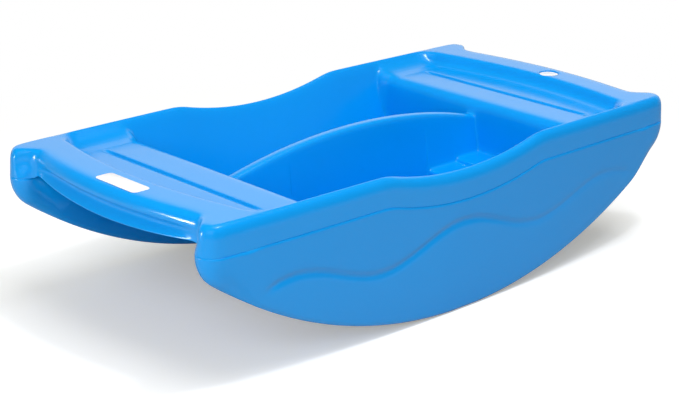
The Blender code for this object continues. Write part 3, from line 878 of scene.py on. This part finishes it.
# %% [markdown]
# ## Rows of the side
# The net needs its rows where the surface bends. Along the middle of the hull they crowd together at the
# parting line and follow the wave, which keeps its crest sharp without a dense mesh everywhere. Towards the
# ends they change over to an even spacing that meets the stations of the round corner one by one.

# %% Heights of the rows
SEAM_ROWS = [0.0, 0.0007, 0.0060, 0.014, 0.026]
WAVE_BAND = [0.030, 0.018, 0.0125, 0.0095, 0.0070, 0.0048, 0.0028, 0.0010, -0.0010, -0.0032, -0.0056,
             -0.0085, -0.0120, -0.0170]
BAND_CEILING = 0.030
BAND_SPACE = 0.0008
LAST_ROW_SHARE = 0.35
FOLLOW_UNTIL = 0.535
FOLLOW_FADE = 0.045
LEAST_SPACE = 0.0004


def side_rows(x, foot_z):
    """Heights of the side's rows at one station, from the seam to the rounded foot."""
    top = seam_height(x) - GAP
    wave = wave_height(x)
    follow = clamp((FOLLOW_UNTIL - abs(x)) / FOLLOW_FADE)
    banded = [top - drop for drop in SEAM_ROWS]
    low_bands = [wave + offset for offset in WAVE_BAND]
    banded += [min(level, top - BAND_CEILING - BAND_SPACE * number) for number, level in enumerate(low_bands)]
    banded += [foot_z + LAST_ROW_SHARE * (banded[-1] - foot_z)]
    even = [foot_z + share * (top - foot_z) for share in foot_shares]
    heights = []
    for number, (a, b) in enumerate(zip(banded, even)):
        heights.append(max(a * follow + b * (1 - follow), foot_z + LEAST_SPACE * (len(even) - number)))
    return heights


print(len(side_rows(0.0, SOLE_EDGE)), "rows,", len(WAVE_BAND), "of them follow the wave")

# %% [markdown]
# ## Cross-sections of a hull
# One cross-section goes down the outer side, round the lower edge, over the sole and round the inner edge.
# The hull stands out by a fine ledge right below the parting line, opposite the deck's step, so light
# catches the line. Round the end's corner the rows stop one after the other on the feet that were listed
# before. Points that share a foot are merged later, when the hull's skin is closed.

# %% Points of a cross-section
SEAM_LEDGE = [-0.0007, 0.0006]
LEDGE_STOP = 3
OUTER_STEPS = 7
INNER_STEPS = 5


def side_points(index, mirror):
    """Points down the outer side at one station. Mirror is -1 for the left half, whose wave differs."""
    if index >= first_corner:
        reached = index - first_corner
        return [corner_feet[max(reached, len(corner_feet) - 1 - row)] for row in range(len(corner_feet))]
    foot_x, side, foot_z = foot_point(stations[index])
    points = []
    for row, height in enumerate(side_rows(mirror * foot_x, foot_z)):
        ledge = SEAM_LEDGE[row] if row < len(SEAM_LEDGE) and index < first_corner - LEDGE_STOP else 0.0
        points.append((foot_x, side + ledge - wave_depth(mirror * foot_x, height), height))
    return points + [(foot_x, side, foot_z)]


def sole_points(station):
    """Points round the outer edge, across the sole and round the inner edge."""
    side = foot_point(station)[1]
    outer_radius = edge_radius(station[0], END_EDGE)
    inner_radius = edge_radius(station[0], NOSE_INNER_ROUND)
    outer = [edge_point(station, outer_radius, step / OUTER_STEPS) for step in range(1, OUTER_STEPS + 1)]
    inner = [edge_point(station, inner_radius, step / INNER_STEPS) for step in range(INNER_STEPS, -1, -1)]
    return [(x, side - y, z) for x, y, z in outer] + [(x, HULL_INNER + y, z) for x, y, z in inner]


def hull_sections(mirror):
    """Cross-sections of one half of a hull, middle to end, as (x, y, z) with y positive outwards."""
    return [side_points(index, mirror) + sole_points(station) for index, station in enumerate(stations)]


print("section points:", len(hull_sections(1)[0]))

# %% [markdown]
# ## Inner wall and hull shells
# The inner wall is flat and can't be seen, so one face is enough for it. Its upper edge runs close under
# the deck's skin: the well floor, the steps, the seat and the rim. The net and this face close the hull, and
# Solidify then hollows it inwards.

# %% Upper edge of the inner wall
SKIN_CLEARANCE = 0.0012
UNDER = WALL + GAP + SKIN_CLEARANCE
WALL_END_X = END_X - 0.0405
WALL_END_SLOPE = 0.011
WALL_END_DROP = 0.014
under_line = [(0.0, WELL_FLOOR), (0.1810, WELL_FLOOR), (0.1840, LOW_STEP), (0.2620, LOW_STEP),
              (0.2650, HIGH_STEP), (0.3310, HIGH_STEP), (0.3350, SEAT - 0.026), (0.3400, SEAT - 0.012),
              (0.3475, SEAT - 0.004), (0.3600, SEAT), (0.4200, SEAT), (0.4240, SEAT - 0.006),
              (0.4340, SEAT - 0.006), (0.4390, SEAT), (0.4550, SEAT), (0.4700, SEAT + 0.0022),
              (0.4840, SEAT + 0.007), (0.4930, TOP - 0.008), (0.5060, TOP)]
inner_wall = [(x + (WALL + GAP if x > 0 else 0.0), z - UNDER) for x, z in under_line]
inner_wall += [(WALL_END_X - WALL_END_SLOPE, TOP - UNDER), (WALL_END_X, TOP - WALL_END_DROP),
               (WALL_END_X, seam_height(END_X) - GAP)]
print(len(inner_wall), "points along half the inner wall")

# %% Hull shells
NET_MERGE = 2e-6


def hull_mesh(side):
    """Closed skin of the hull on one side: the net of its cross-sections and the flat inner wall."""
    left, right = hull_sections(-1), hull_sections(1)
    sections = [[(-x, y, z) for x, y, z in section] for section in reversed(left[1:])] + right
    mesh = bmesh.new()
    ordered = grid_net(mesh, len(sections), len(sections[0]), 0, 1)
    foot_line = []
    for number, section in enumerate(sections):
        column = ordered[number * len(section):(number + 1) * len(section)]
        for vertex, (x, y, z) in zip(column, section):
            vertex.co = (x, side * y, z)
        foot_line.append(column[-1])
    top = [mesh.verts.new((-x, side * HULL_INNER, z)) for x, z in reversed(inner_wall)]
    top += [mesh.verts.new((x, side * HULL_INNER, z)) for x, z in inner_wall[1:]]
    mesh.faces.new(top + list(reversed(foot_line)))
    bmesh.ops.remove_doubles(mesh, verts=mesh.verts, dist=NET_MERGE)
    bmesh.ops.dissolve_degenerate(mesh, dist=TINY, edges=mesh.edges)
    turn_outwards(mesh, lambda face: face.calc_center_median().z, -1)
    return mesh


def add_hull(name, side, node, slot):
    hull = new_piece(name, hull_mesh(side), node, slot, hull_plastic)
    add_wall(hull, WALL)


add_hull("near_hull_shell", -1, "near_rocker_hull", "near_hull_blue_plastic")
add_hull("far_hull_shell", 1, "far_rocker_hull", "far_hull_blue_plastic")

# %% [markdown]
# ## Vent plug
# A white cap closes the hole through which the hollow toy breathes. Its face is a shallow dish with a raised
# ring, and under the skin a catch keeps it in. Anything round like this is made as on a lathe: a half
# outline, spun about the vertical. A cylinder with bevels would need more steps for the same ring.

# %% Half outline of the plug, as radius and height
CAP_RADIUS = PLUG_RADIUS - GAP
FACE_LEVEL = -0.0026
GROOVE_LEVEL = -0.0029
RING_LEVEL = -0.0024
CATCH_RADIUS = CAP_RADIUS + 0.0014
BARREL_RADIUS = CAP_RADIUS - 0.0020
PLUG_END = -0.0120
plug_outline = [
    (0.0, FACE_LEVEL),
    (CAP_RADIUS - 0.0065, FACE_LEVEL),
    (CAP_RADIUS - 0.0058, GROOVE_LEVEL),
    (CAP_RADIUS - 0.0050, GROOVE_LEVEL),
    (CAP_RADIUS - 0.0043, RING_LEVEL),
    (CAP_RADIUS - 0.0014, RING_LEVEL),
    (CAP_RADIUS - 0.0004, -0.0028),
    (CAP_RADIUS, -0.0036),
    (CAP_RADIUS, -0.0042),
    (CATCH_RADIUS, -0.0046),
    (CATCH_RADIUS, -0.0062),
    (BARREL_RADIUS, -0.0080),
    (BARREL_RADIUS, PLUG_END),
    (0.0, PLUG_END),
]
print("the cap is", round(2 * CAP_RADIUS, 4), "m wide and", -PLUG_END, "m deep")

# %% Spin the plug
PLUG_WHITE = (0.93, 0.93, 0.93)
PLUG_SHADE = (0.90, 0.90, 0.91)

plug_plastic = satin_plastic("white_plug_plastic", PLUG_WHITE, PLUG_SHADE, roughness=0.34, peel=0.04)
plug_mesh = bmesh.new()
ring = [plug_mesh.verts.new((radius, 0.0, height)) for radius, height in plug_outline]
ring_edges = [plug_mesh.edges.new(pair) for pair in zip(ring, ring[1:])]
bmesh.ops.spin(plug_mesh, geom=ring + ring_edges, cent=(0, 0, 0), axis=(0, 0, 1), angle=math.radians(360),
               steps=ROUND_SEGMENTS, use_merge=True)
bmesh.ops.remove_doubles(plug_mesh, verts=plug_mesh.verts, dist=TINY)
bmesh.ops.recalc_face_normals(plug_mesh, faces=plug_mesh.faces)
bmesh.ops.translate(plug_mesh, verts=plug_mesh.verts, vec=(PLUG_X, PLUG_Y, TOP))
new_piece("vent_cap", plug_mesh, "vent_plug", "plug_white_plastic", plug_plastic)

# %% [markdown]
# ## Label plate
# A small white plate with rounded corners lies on the left end rim, sunk into it by a fraction of a
# millimetre. It is a flat grid extruded to its thickness, with its corners and then its upper edge rounded
# by two bevels. Two bevels rather than one, because the corners are far rounder than the edge.

# %% Blank label plate
LABEL_X = 0.03775 - END_X
LABEL_Y = -0.017
LABEL_WIDTH = 0.037
LABEL_LENGTH = 0.114
LABEL_THICKNESS = 0.0010
LABEL_SUNK = 0.0004
LABEL_CORNER = 0.009
LABEL_EDGE = 0.0003
LABEL_WHITE = (0.94, 0.94, 0.94)
LABEL_SHADE = (0.91, 0.91, 0.92)

label_vinyl = satin_plastic("white_label_vinyl", LABEL_WHITE, LABEL_SHADE, roughness=0.30, peel=0.03)
label_mesh = bmesh.new()
bmesh.ops.create_grid(label_mesh, x_segments=1, y_segments=1, size=0.5)
bmesh.ops.scale(label_mesh, verts=label_mesh.verts, vec=(LABEL_WIDTH, LABEL_LENGTH, 1.0))
lifted = bmesh.ops.extrude_face_region(label_mesh, geom=label_mesh.faces[:])["geom"]
lifted_vertices = [v for v in lifted if isinstance(v, bmesh.types.BMVert)]
bmesh.ops.translate(label_mesh, verts=lifted_vertices, vec=(0, 0, LABEL_THICKNESS))
bmesh.ops.recalc_face_normals(label_mesh, faces=label_mesh.faces)
upright = [e for e in label_mesh.edges if abs(e.verts[0].co.z - e.verts[1].co.z) > LABEL_THICKNESS / 2]
bmesh.ops.bevel(label_mesh, geom=upright, offset=LABEL_CORNER, affect="EDGES", segments=8, profile=0.5,
                material=-1)
upper = [e for e in label_mesh.edges if min(v.co.z for v in e.verts) > LABEL_THICKNESS / 2]
bmesh.ops.bevel(label_mesh, geom=upper, offset=LABEL_EDGE, affect="EDGES", segments=2, profile=0.5,
                material=-1)
bmesh.ops.translate(label_mesh, verts=label_mesh.verts, vec=(LABEL_X, LABEL_Y, TOP - LABEL_SUNK))
new_piece("label_plate_blank", label_mesh, "label_plate", "label_white_vinyl", label_vinyl)

# %% [markdown]
# ## White floor
# The photograph is a plain studio shot, where the floor is pure white but for the toy's shadow. A lit white
# surface alone would turn grey towards the edges of the picture. So the floor shows the camera a diffuse
# white that takes the shadow, lifted by a weak glow, and with the distance from the toy it turns into a
# plain white glow. All other rays meet a grey paint, which keeps the light that the floor throws back onto
# the toy at the strength that the photograph shows.

# %% Floor and the paint that lights the toy
FLOOR_REACH = 8.0
PAPER_SCALE = 2.0
PAPER_DETAIL = 2.0
PAPER_ROUGHNESS = 0.9
CLOUDS = 0.005
BOUNCE = (0.58, 0.58, 0.58)

floor_mesh = bmesh.new()
bmesh.ops.create_grid(floor_mesh, x_segments=1, y_segments=1, size=FLOOR_REACH)
floor = link_mesh("studio_floor", floor_mesh)
floor_paint = bpy.data.materials.new("floor_paint")
floor_paint.use_nodes = True
paint_tree = floor_paint.node_tree
floor_place = paint_tree.nodes.new("ShaderNodeTexCoord").outputs["Object"]
paper = add_noise(paint_tree, floor_place, PAPER_SCALE, PAPER_DETAIL)


def paper_tint(colour):
    """A colour that the paper's faint clouds vary by one per cent."""
    darker = [channel * (1 - CLOUDS) for channel in colour]
    lighter = [channel * (1 + CLOUDS) for channel in colour]
    return add_tint(paint_tree, paper, darker, lighter)


paint = paint_tree.nodes["Principled BSDF"]
paint.inputs["Roughness"].default_value = PAPER_ROUGHNESS
paint.inputs["Specular IOR Level"].default_value = 0.0
paint_tree.links.new(paper_tint(BOUNCE), paint.inputs["Base Color"])
print("the floor throws back", BOUNCE[0], "of its light")

# %% What the camera sees of the floor
# SEEN is a bluish white and GLOW a warm glow. The glow is painted light that lifts the floor, and the two
# tints turn the blue light that the toy throws into its shadow into a painted neutral grey.
SEEN = (0.90, 0.93, 0.99)
GLOW = (0.30, 0.27, 0.18)
WHITE = (1.0, 1.0, 1.0)
CLEAR_FROM = 0.70
CLEAR_AT = 1.45


def add_glow(tree, colour):
    glow = tree.nodes.new("ShaderNodeEmission")
    glow.inputs["Color"].default_value = (*colour, 1.0)
    return glow.outputs["Emission"]


def mix_shaders(tree, factor, first, second):
    mix = tree.nodes.new("ShaderNodeMixShader")
    tree.links.new(factor, mix.inputs["Fac"])
    tree.links.new(first, mix.inputs[1])
    tree.links.new(second, mix.inputs[2])
    return mix.outputs["Shader"]


seen = paint_tree.nodes.new("ShaderNodeBsdfDiffuse")
paint_tree.links.new(paper_tint(SEEN), seen.inputs["Color"])
lifted_white = paint_tree.nodes.new("ShaderNodeAddShader")
paint_tree.links.new(seen.outputs["BSDF"], lifted_white.inputs[0])
paint_tree.links.new(add_glow(paint_tree, GLOW), lifted_white.inputs[1])
distance = paint_tree.nodes.new("ShaderNodeVectorMath")
distance.operation = "LENGTH"
paint_tree.links.new(floor_place, distance.inputs[0])
clear = add_range(paint_tree, distance.outputs["Value"], CLEAR_FROM, CLEAR_AT, interpolation="SMOOTHSTEP")
fading = mix_shaders(paint_tree, clear, lifted_white.outputs["Shader"], add_glow(paint_tree, WHITE))
print("the floor is plain white from", CLEAR_AT, "m on")

# %% Choose by the kind of ray
path = paint_tree.nodes.new("ShaderNodeLightPath")
choice = mix_shaders(paint_tree, path.outputs["Is Camera Ray"], paint.outputs["BSDF"], fading)
paint_tree.links.new(choice, paint_tree.nodes["Material Output"].inputs["Surface"])
floor.data.materials.append(floor_paint)
print("floor ready with", len(paint_tree.nodes), "nodes")

# %% [markdown]
# ## White surroundings
# The world also answers by the kind of ray. The camera sees plain white. A reflection sees white beyond the
# toy and a dim studio behind the camera, with a soft change between, which gives the satin plastic its long
# bright and dark bands. All other rays get a weak even light, so the lamps decide where the shadows fall.

# %% World
SKY_LIGHT = 0.28
DARK_SIDE = 0.10
BRIGHT_SIDE = (0.62, 0.65, -0.44)
BRIGHT_FROM = 0.20
BRIGHT_AT = 0.60

world = bpy.data.worlds.new("studio")
bpy.context.scene.world = world
world.use_nodes = True
world_tree = world.node_tree
sky = world_tree.nodes["Background"]
sky.inputs["Color"].default_value = (*WHITE, 1.0)
direction = world_tree.nodes.new("ShaderNodeTexCoord")
facing = world_tree.nodes.new("ShaderNodeVectorMath")
facing.operation = "DOT_PRODUCT"
facing.inputs[1].default_value = BRIGHT_SIDE
world_tree.links.new(direction.outputs["Generated"], facing.inputs[0])
studio = add_range(world_tree, facing.outputs["Value"], BRIGHT_FROM, BRIGHT_AT, low=DARK_SIDE,
                   interpolation="SMOOTHSTEP")
ray = world_tree.nodes.new("ShaderNodeLightPath")
reflected = world_tree.nodes.new("ShaderNodeMix")
reflected.inputs["A"].default_value = SKY_LIGHT
world_tree.links.new(ray.outputs["Is Glossy Ray"], reflected.inputs["Factor"])
world_tree.links.new(studio, reflected.inputs["B"])
shown = world_tree.nodes.new("ShaderNodeMix")
shown.inputs["B"].default_value = 1.0
world_tree.links.new(ray.outputs["Is Camera Ray"], shown.inputs["Factor"])
world_tree.links.new(reflected.outputs["Result"], shown.inputs["A"])
world_tree.links.new(shown.outputs["Result"], sky.inputs["Strength"])
print("sky light", SKY_LIGHT, "and", DARK_SIDE, "in the dim half of the reflections")

# %% [markdown]
# ## Lamps
# Two large soft boxes give the light and the shadow: one nearly overhead and one from the left. They are
# hidden from reflections, because their square outlines would show in the glossy plastic. Two small square
# lamps stay visible there and make the sparks on the round corners.

# %% Soft boxes and sparks
CENTRE = (0.0, 0.0, 0.2)
SOFT_BOXES = [
    ("front_box", (0.2, -0.7, 3.2), (3.0, 2.2), 66.0),
    ("left_box", (-2.6, -1.5, 1.5), (2.0, 1.6), 41.0),
]
SPARK_SIZE = (0.28, 0.28)
SPARK_POWER = 14.0
SPARKS = [("left_spark", (-2.8, 0.95, 0.40)), ("top_spark", (0.1, -1.0, 2.8))]


def add_lamp(name, place, size, power):
    """A flat rectangular lamp that looks at the middle of the toy."""
    light = bpy.data.lights.new(name, "AREA")
    light.shape = "RECTANGLE"
    light.size, light.size_y = size
    light.energy = power
    lamp = bpy.data.objects.new(name, light)
    aim = (Vector(CENTRE) - Vector(place)).to_track_quat("-Z", "Y")
    lamp.matrix_world = Matrix.Translation(place) @ aim.to_matrix().to_4x4()
    bpy.context.scene.collection.objects.link(lamp)
    return lamp


for name, place, size, power in SOFT_BOXES:
    add_lamp(name, place, size, power).visible_glossy = False
for name, place in SPARKS:
    add_lamp(name, place, SPARK_SIZE, SPARK_POWER)

# %% [markdown]
# ## Camera
# The camera was solved from the photograph: three known sizes of the toy fix its distance, its angle and
# its focal length. The solution gives three turns: round the vertical, down towards the floor, and a small
# roll about the view. They are put together from vectors, which is plainer than finding the right order of
# Euler angles.

# %% Directions of the camera at the photograph's angle
AZIMUTH = math.radians(43.6488)
PITCH = math.radians(19.5625)
ROLL = math.radians(0.7452)
CAMERA_PLACE = (-2.17944, -2.24539, 1.22493)

look = Vector((math.sin(AZIMUTH) * math.cos(PITCH), math.cos(AZIMUTH) * math.cos(PITCH), -math.sin(PITCH)))
right = Vector((math.cos(AZIMUTH), -math.sin(AZIMUTH), 0.0))
up = right.cross(look)
turned_right = right * math.cos(ROLL) + up * math.sin(ROLL)
turned_up = up * math.cos(ROLL) - right * math.sin(ROLL)
axes = Matrix((turned_right, turned_up, -look)).transposed()
print("the camera looks along", [round(v, 3) for v in look])

# %% [markdown]
# The picture is taken as 679 pixels wide. With the focal length in the same pixels, their ratio and the
# width of the sensor give the lens in millimetres. The view transform is set to Standard, because the
# default one would turn the white floor grey.

# %% Lens and place of the camera
FOCAL_PIXELS = 1690.36
IMAGE_WIDTH = 679
SENSOR_WIDTH = 36.0

camera_data = bpy.data.cameras.new("photo_camera")
camera_data.sensor_width = SENSOR_WIDTH
camera_data.lens = FOCAL_PIXELS / IMAGE_WIDTH * SENSOR_WIDTH
camera = bpy.data.objects.new("photo_camera", camera_data)
camera.matrix_world = Matrix.Translation(CAMERA_PLACE) @ axes.to_4x4()
bpy.context.scene.collection.objects.link(camera)
bpy.context.scene.camera = camera
bpy.context.scene.view_settings.view_transform = "Standard"
print("lens", round(camera_data.lens, 2), "mm")

# %% Finish
bpy.context.view_layer.update()
